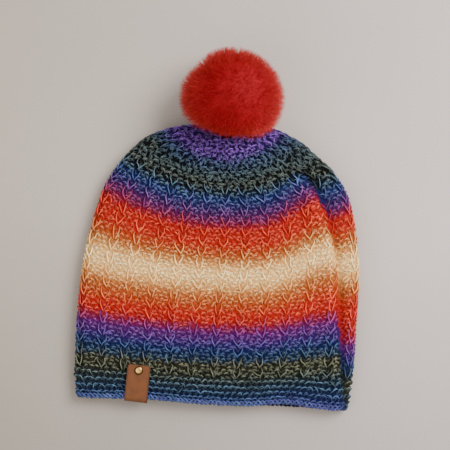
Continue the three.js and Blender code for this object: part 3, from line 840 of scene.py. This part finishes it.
        # painted shade along the crease of the joining line
        light = np.where(front, 1 - self.valley_shade * bell(joint / 0.55), 1.0)
        tones = tone * (1 + rng.normal(0, self.tone_spread, len(chart))) * light
        dyes = self.dye_shift(middle[:, 0], middle[:, 1]) + rng.normal(0, self.dye_spread, len(chart))
        strands.add(chart, radius, tones, dyes, count)

    def build(self, finish: Material) -> list[Piece]:
        """Builds the crown's yarn in a few pieces, from the hem's end up."""
        rounds = int((self.end - CROWN_FROM) / self.pitch)
        starts = (0, 6, 12, 18, rounds)
        pieces = []
        for number, (low, high) in enumerate(zip(starts, starts[1:]), 1):
            strands = Strands(self.form)
            for index in range(low, high):
                self.lay_round(strands, CROWN_FROM + index * self.pitch, index)
            pieces.append(strands.piece(f"crown_rounds_{number}", finish, "patterned_yarn"))
        return pieces


@dataclass
class PlainBrim:
    """The plain rounds of the hem, and the chain along its edge."""

    form: HatForm
    rounds: int = 4
    pitch: float = PLAIN_ROUND / FABRIC_LENGTH
    stitches: int = 96
    links: int = 132
    edge_at: float = 2.2 / FABRIC_LENGTH
    seed: int = 11
    shapes: tuple[tuple[Stitch, float, float, float], ...] = (
        (Stitch.BAR, 0.6, 2.4, 0.85),
        (Stitch.LEG, -0.1, 2.4, 0.8),
        (Stitch.FALLING, 0.0, 2.2, 0.75),
    )

    def build(self, finish: Material) -> tuple[Piece, Piece]:
        """Builds the brim's and the edging's yarn."""
        crown = CrochetCrown(self.form, pitch=self.pitch, stitch=6.0, seed=self.seed)
        brim = Strands(self.form)
        turn = np.arange(self.stitches) / self.stitches
        girth = self.form.girth(0.05)
        for index in range(self.rounds):
            rng = np.random.default_rng(self.seed * 100 + index)
            at = np.full(self.stitches, self.pitch + (index + 0.1) * self.pitch)
            shift = turn + 0.5 * (index % 2) / self.stitches
            for shape, lift, tall, tone in self.shapes:
                chart = crown.scatter(rng, shape, shift, at, girth, lift, 0.12)
                crown.add(brim, rng, self.stretch(chart, at, tall), 0.6, tone, 6)
        edge = Strands(self.form)
        rng = np.random.default_rng(self.seed)
        chain = CrochetCrown(self.form, pitch=self.pitch, stitch=girth / self.links)
        turn, at = np.arange(self.links) / self.links, np.full(self.links, self.edge_at)
        for shape in (Stitch.EDGE_OUT, Stitch.EDGE_IN):
            chart = self.stretch(chain.scatter(rng, shape, turn, at, girth, 0.5, 0.05), at, 1.6)
            chain.add(edge, rng, chart, 0.85, 0.8, 6)
        return brim.piece("brim_rounds", finish, "hem_yarn"), edge.piece("edging_chain", finish, "edge_yarn")

    @staticmethod
    def stretch(chart: Array, at: Array, times: float) -> Array:
        """Makes stitches taller about their place along the fabric."""
        chart[..., 1] = at[:, None] + (chart[..., 1] - at[:, None]) * times
        return chart


@dataclass
class ClothShell:
    """The close body of the fabric that the strands lie on, with its inner side."""

    form: HatForm
    name: str
    start: float
    end: float
    rows: int
    around: int = 192
    sink: float = 1.3

    def build(self, finish: Material, slot: str) -> Piece:
        """Builds the closed wall, seen from both sides."""
        turn = np.arange(self.around) / self.around
        outer = np.linspace(self.start, self.end, self.rows)
        rings = [(a, -self.sink) for a in outer] + [(a, -self.form.wall) for a in outer[::-1]]
        along, out = (np.repeat(column[:, None], self.around, axis=1) for column in np.array(rings).T)
        turn = np.broadcast_to(turn, along.shape)
        places = self.form.place(turn, along, out)
        base = np.arange(along.size).reshape(along.shape)
        right, up = np.roll(base, -1, axis=1), np.roll(base, -1, axis=0)
        faces = np.stack([base, right, np.roll(right, -1, axis=0), up], axis=-1).reshape(-1, 4)
        dye = along + CrochetCrown(self.form).dye_shift(turn, along)
        numbers = {"dye": dye.ravel(), "inner": (out < -self.sink).astype(float).ravel()}
        u, v = (turn * FABRIC_ROUND).ravel(), (along * FABRIC_LENGTH).ravel()
        uv = np.stack([u[faces], v[faces]], axis=-1).reshape(-1, 2)
        return piece_from(self.name, places.reshape(-1, 3), faces, finish, numbers, uv)


@dataclass(frozen=True)
class ClothFinish:
    """Painted shade between the strands, darker in each stitch's hollows, and the plainer inner side, halfway
    to the highlight colour.
    """

    yarn: YarnFinish
    mess_scale: float = 700.0

    def make(self) -> Material:
        """Builds the material."""
        shade = Shade("cloth_ground")
        thread, ground = self.yarn.ramps(shade)
        x, y, _ = shade.strand_place()
        across = shade.maths("SINE", shade.times(x, TAU / PLAIN_STITCH))
        cells = shade.times(across, shade.maths("SINE", shade.times(y, TAU / PLAIN_ROUND)))
        height = shade.plus(shade.times(cells, 0.5), shade.noise(self.mess_scale))
        # painted shade: darker where the stitch cells sink, with some noise in tone
        light = shade.spread(height, 0.0, 1.4, 0.6, 1.2)
        inner = shade.times(shade.attribute("inner"), 0.5)
        colour = shade.scaled(shade.mix(inner, ground, thread), light)
        return shade.surface(colour, 0.85, 0.1, Normal=shade.bump(height, 1.0, 0.0012))


@dataclass(frozen=True)
class FurFinish:
    """Deep red fur, darker at the roots in painted shade and paler round the ball's rim in painted light,
    with some fibres paler at random.
    """

    # root is painted shade deep in the fur; pale is the colour of a painted rim light
    root: Colour = (0.36, 0.0, 0.03)
    middle: Colour = (0.7, 0.05, 0.1)
    tip: Colour = (0.68, 0.05, 0.09)
    pale: Colour = (0.86, 0.36, 0.3)

    def make(self) -> Material:
        """Builds the material."""
        shade = Shade("red_fur")
        stops = [(0.0, self.root), (0.55, self.middle), (1.0, self.tip)]
        colour = shade.ramp(shade.attribute("reach"), stops)
        tone = shade.attribute("tone")
        # painted rim light: fibres lying across the view are paler and brighter
        colour = shade.mix(shade.spread(tone, 0.35, 1.0, 0.0, 0.5), colour, linear(self.pale))
        return shade.surface(shade.scaled(colour, shade.spread(tone, 0.0, 1.0, 0.68, 1.14)), 0.75, 0.15)


@dataclass
class Pompom:
    """The ball of long fur that hides the closure.

    base is its reach towards the crown. pull is how far a fibre's tip bends to the nearest
    clump, and stray and droop how far it leans at random and down. tip is a share of its root.
    """

    middle: Vector
    axis: Vector
    radius: float = 45.6
    base: float = 33.4
    root: float = 17.0
    core_depth: float = 5.5
    fibres: int = 16000
    segments: int = 3
    clumps: int = 260
    pull: float = 0.28
    stray: float = 0.09
    droop: float = 0.05
    tip: float = 0.14
    seed: int = 5
    clump_seed: int = 99

    def reach(self, way: Array) -> Array:
        """How far the fur reaches in each direction: it is shorter towards the crown."""
        towards = smoothstep(0.35, 0.95, -way @ np.array(self.axis))
        full = self.radius + (self.base - self.radius) * towards
        return full * (1 - 0.06 * np.maximum(way[:, 1], 0) ** 2)

    def lumps(self, way: Array) -> Array:
        """A slow unevenness over the ball, as a share."""
        x, y, z = way.T
        waves = (3.1 * x + 1.3 * y + 0.4, 2.7 * y - 2.2 * z + 1.1, 3.9 * z + 1.7 * x + 2.0)
        notch = bell((x + 0.72) / 0.22) * bell((y - 0.55) / 0.3)
        return 0.018 * sum(np.sin(wave) for wave in waves) - 0.07 * notch

    def build(self, finish: Material) -> list[Piece]:
        """Builds the fur in two joined meshes over a ball of its own colour."""
        pieces = [self.core(finish)]
        for half in range(2):
            pieces.append(self.fur(f"pompom_fur_{'ab'[half]}", self.fibres // 2, self.seed + half, finish))
        return pieces

    def core(self, finish: Material) -> Piece:
        """The dense ball under the loose fur."""
        ball = bmesh.new()
        bmesh.ops.create_icosphere(ball, subdivisions=5, radius=1.0)
        way = np.array([v.co.normalized() for v in ball.verts])
        size = (self.reach(way) * (1 + self.lumps(way)) - self.core_depth) * MM
        centre = np.array(self.middle)
        for vert, place in zip(ball.verts, centre + way * size[:, None]):
            vert.co = (place[0], place[1], max(place[2], 0.0006))
        mesh = mesh_of(ball, "pompom_core")
        mesh.shade_smooth()
        for key, value in (("reach", 0.3), ("tone", 0.3)):
            store(mesh, key, np.full(len(mesh.vertices), value))
        return finished("pompom_core", mesh, finish)

    def fur(self, name: str, count: int, seed: int, finish: Material) -> Piece:
        """Tapered fibres, each a thin three-sided lock that bends at its tip."""
        rng = np.random.default_rng(seed)
        way = unit(rng.normal(0, 1, (count, 3)))
        full = self.reach(way) * (1 + self.lumps(way))
        length = full * (1.02 - np.abs(rng.normal(0, 0.055, count)))
        clump = unit(np.random.default_rng(self.clump_seed).normal(0, 1, (self.clumps, 3)))
        near = clump[np.argmax(way @ clump.T, axis=1)]
        stray = rng.normal(0, self.stray, (count, 3))
        tip = unit(way + self.pull * (near - way) + stray + np.array([0, 0, -self.droop]))
        t = np.linspace(0, 1, self.segments + 1)
        start = full - self.root
        bend = t[None, :, None] ** 1.5
        heading = way[:, None] * (1 - bend) + tip[:, None] * bend
        distance = start[:, None] + (length - start)[:, None] * t[None]
        path = np.array(self.middle) + heading * (distance * MM)[..., None]
        ahead = way[:, None].repeat(len(t), axis=1)
        side = unit(np.cross(ahead, np.array([0.31, 0.52, 0.79])))
        spin = rng.uniform(0, TAU, count)[:, None, None] + TAU * np.arange(3) / 3
        thick = rng.uniform(0.22, 0.36, count)[:, None] * (1 - (1 - self.tip) * t[None] ** 1.3) * MM
        ring, faces = tubes(path, thick, side, np.cross(side, ahead), spin)
        reach = np.broadcast_to(t[None, :, None], ring.shape[:3])
        # painted rim light: fibres pointing up towards the view stay deep red and those round the rim turn
        # paler, with some random spread
        pale = 0.4 * rng.uniform(0, 1, count) + 0.6 * (1 - np.maximum(way[:, 2], 0) ** 1.5)
        tone = np.broadcast_to(pale[:, None, None], reach.shape)
        numbers = {"reach": reach.ravel(), "tone": tone.ravel()}
        return piece_from(name, ring.reshape(-1, 3), faces, finish, numbers)


@dataclass(frozen=True)
class LeatherFinish:
    """Tan leather with a fine grain, darker in soft patches and towards its two long edges."""

    middle: tuple[float, float]
    half: float = 10.0
    rim: float = 3.5
    lean: float = math.radians(3.7)
    cloud_scale: float = 160.0
    grain_scale: float = 1900.0
    body: Colour = (0.4, 0.225, 0.095)
    dark: Colour = (0.24, 0.12, 0.05)

    def make(self) -> Material:
        """Builds the material."""
        shade = Shade("tag_leather")
        cloud = shade.noise(self.cloud_scale, 4.0)
        grain = shade.noise(self.grain_scale)
        x, y = shade.from_middle(self.middle)
        across = shade.maths("ABSOLUTE", shade.plus(x, shade.times(y, -math.tan(self.lean))))
        rim = shade.spread(across, (self.half - self.rim) * MM, (self.half + 0.3) * MM)
        darker_patches_and_edges = shade.spread(cloud, 0.42, 0.75, 0.0, 0.45)
        darker_patches_and_edges = shade.maths("MAXIMUM", darker_patches_and_edges, shade.maths("POWER", rim, 2.0))
        colour = shade.mix(darker_patches_and_edges, linear(self.body), linear(self.dark))
        bump = shade.bump(shade.plus(grain, shade.times(cloud, 0.5)), 0.35, 0.0004)
        return shade.surface(colour, shade.uneven(grain, 0.48, 0.66), 0.3, Normal=bump)


@dataclass(frozen=True)
class BrassFinish:
    """Bright brass, finely scratched, with painted shade round the cap's rim."""

    middle: tuple[float, float]
    cap: float = 3.7
    scuff_scale: float = 1400.0
    colour: Colour = (0.88, 0.71, 0.42)
    grime: Colour = (0.3, 0.19, 0.08)

    def make(self) -> Material:
        """Builds the material."""
        shade = Shade("rivet_brass")
        x, y = shade.from_middle(self.middle)
        away = shade.maths("SQRT", shade.plus(shade.times(x, x), shade.times(y, y)))
        # painted shade where the cap's dome turns away near its rim
        rim = shade.spread(away, (self.cap - 1.6) * MM, (self.cap - 0.8) * MM)
        scuff = shade.noise(self.scuff_scale)
        colour = shade.mix(rim, linear(self.colour), linear(self.grime))
        colour = shade.scaled(colour, shade.uneven(scuff, 0.9, 1.05))
        return shade.surface(colour, shade.uneven(scuff, 0.18, 0.32), Metallic=1.0)


@dataclass(frozen=True)
class TieFinish:
    """The plain violet yarn that holds the pompom."""

    colour: Colour = (0.36, 0.24, 0.5)
    fibre_scale: float = 1500.0

    def make(self) -> Material:
        """Builds the material."""
        shade = Shade("tie_yarn")
        fibre = shade.noise(self.fibre_scale)
        colour = shade.scaled(linear(self.colour)[:3], shade.uneven(fibre, 0.7, 1.2))
        return shade.surface(colour, 0.75, 0.2, Normal=shade.bump(fibre, 0.6, 0.0004))


@dataclass(frozen=True)
class Lamp:
    """One soft square lamp, aimed at the middle of the surface."""

    name: str
    place: tuple[float, float, float]
    size: float
    power: float
    colour: Colour

    def build(self) -> None:
        """Hangs the lamp."""
        data = bpy.data.lights.new(self.name, "AREA")
        data.shape = "SQUARE"
        data.size = self.size
        data.energy = self.power
        data.color = self.colour
        aim = (-Vector(self.place)).to_track_quat("-Z", "Y").to_matrix().to_4x4()
        placed(self.name, data).matrix_world = Matrix.Translation(self.place) @ aim


@dataclass
class PhotoStage:
    """The pale surface, the soft light and the camera straight above.

    roll is in degrees and pixel in millimetres. The other lengths are in metres. plane is the
    height at which the picture's scale holds.
    """

    roll: float = 2.9
    height: float = 1.2
    pixels: int = 450
    pixel: float = 0.8834
    centre: tuple[float, float] = (0.0026, 0.158)
    plane: float = 0.008
    # painted light: the sheet's tint on its left and on its right
    left: Colour = (0.67, 0.63, 0.582)
    right: Colour = (0.755, 0.71, 0.692)
    room: Colour = (1.0, 0.985, 0.97)
    room_light: float = 0.93
    lamps: tuple[Lamp, ...] = (
        Lamp("window_light", (0.75, 0.55, 1.15), 0.8, 33.0, (1.0, 0.98, 0.98)),
        Lamp("fill_light", (-0.8, -0.5, 1.2), 1.2, 6.0, (1.0, 0.98, 0.93)),
    )

    def floor(self) -> None:
        """A pale sheet, warmer on the left and pinker on the right as painted light, darker towards the top,
        the bottom and the lower left in painted shade, and a little uneven in tone.
        """
        sheet = bmesh.new()
        bmesh.ops.create_grid(sheet, x_segments=2, y_segments=2, size=2.2)
        bmesh.ops.translate(sheet, verts=sheet.verts, vec=(0, 0, -0.0004))
        mesh = mesh_of(sheet, "pale_surface")
        shade = Shade("pale_surface")
        x, y, _ = shade.parts(shade.place())
        # painted light and shade: tinted by side, darker towards the top, the bottom and the lower left
        # corner
        colour = shade.mix(shade.spread(x, -0.2, 0.2), linear(self.left), linear(self.right))
        high = shade.spread(y, 0.03, 0.2, 1.0, 0.93)
        low = shade.times(shade.spread(y, -0.2, 0.0, 0.8, 1.0), high)
        corner = shade.spread(shade.plus(x, y), -0.34, -0.12, 0.92, 1.0)
        tone = shade.uneven(shade.noise(9.0), 0.98, 1.02)
        light = shade.times(low, shade.times(corner, tone))
        mesh.materials.append(shade.surface(shade.scaled(colour, light), 0.9, 0.2))
        obj = placed("pale_surface", mesh)

    def lights(self) -> None:
        """Even light from above, a little stronger from the upper right."""
        for lamp in self.lamps:
            lamp.build()
        world = bpy.data.worlds.new("soft_room")
        world.use_nodes = True
        inputs = world.node_tree.nodes["Background"].inputs
        inputs["Color"].default_value = (*self.room, 1.0)
        inputs["Strength"].default_value = self.room_light
        bpy.context.scene.world = world

    def camera(self, hem_y: float) -> None:
        """The camera, straight above and rolled as the hat leans in the picture."""
        data = bpy.data.cameras.new("camera")
        data.sensor_fit = "HORIZONTAL"
        data.sensor_width = 36.0
        distance = self.height - self.plane
        data.lens = data.sensor_width * distance / (self.pixels * self.pixel * MM)
        data.clip_start = 0.05
        obj = placed("camera", data)
        x, y = self.centre[0], self.centre[1] + hem_y
        turned = Matrix.Rotation(math.radians(self.roll), 4, "Z")
        obj.matrix_world = Matrix.Translation((x, y, self.height)) @ turned
        bpy.context.scene.camera = obj

    def build(self, hem_y: float) -> None:
        """Builds the stage."""
        self.floor()
        self.lights()
        self.camera(hem_y)


def repaint(node: Piece, material: Material) -> None:
    """Gives a solid of the frame its finish."""
    for place in node.material_slots:
        place.material = material


def middle_of(box: tuple) -> tuple[float, float]:
    """The middle of a box, seen from above."""
    low, high = box
    return (low[0] + high[0]) / 2, (low[1] + high[1]) / 2


def pompom_at(form: HatForm) -> tuple[Vector, Vector]:
    """The pompom's middle in metres, and the direction that it leans in from the closure."""
    tilt = math.radians(form.closure_tilt)
    axis = Vector((math.tan(math.radians(form.closure_turn)), math.cos(tilt), math.sin(tilt))).normalized()
    y = form.closure_up * form.body_height + form.hem_y
    closure = Vector((0, y, form.closure_high * form.loft)) * MM
    return closure + axis * form.pompom_out * MM, axis


def main() -> None:
    """Builds the hat over its frame."""
    logging.basicConfig(level=logging.INFO, format="%(message)s")
    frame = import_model()
    nodes = frame["nodes"]
    hem_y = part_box("edging")[0][1] / MM
    form = HatForm(hem_y=hem_y)
    PhotoStage().build(hem_y * MM)

    yarn = YarnFinish()
    dyed = yarn.make()
    ground = ClothFinish(yarn).make()
    crown_cloth = ClothShell(form, "crown_cloth", CROWN_FROM, CROWN_TO, 72).build(ground, "patterned_yarn")
    brim_cloth = ClothShell(form, "brim_cloth", BRIM_FROM, BRIM_TO, 12).build(ground, "hem_yarn")
    rounds = CrochetCrown(form).build(dyed)
    brim, edging = PlainBrim(form).build(dyed)
    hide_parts("crown")
    for piece in rounds:
        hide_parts("crown")
    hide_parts("brim")
    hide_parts("brim")
    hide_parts("edging")

    for piece in Pompom(*pompom_at(form)).build(FurFinish().make()):
        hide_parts("pompom")

    repaint(nodes["pompom_tie"], TieFinish().make())
    repaint(nodes["tag"], LeatherFinish(middle_of(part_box("tag"))).make())
    repaint(nodes["rivet"], BrassFinish(middle_of(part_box("rivet"))).make())


if __name__ == "__main__":
    main()
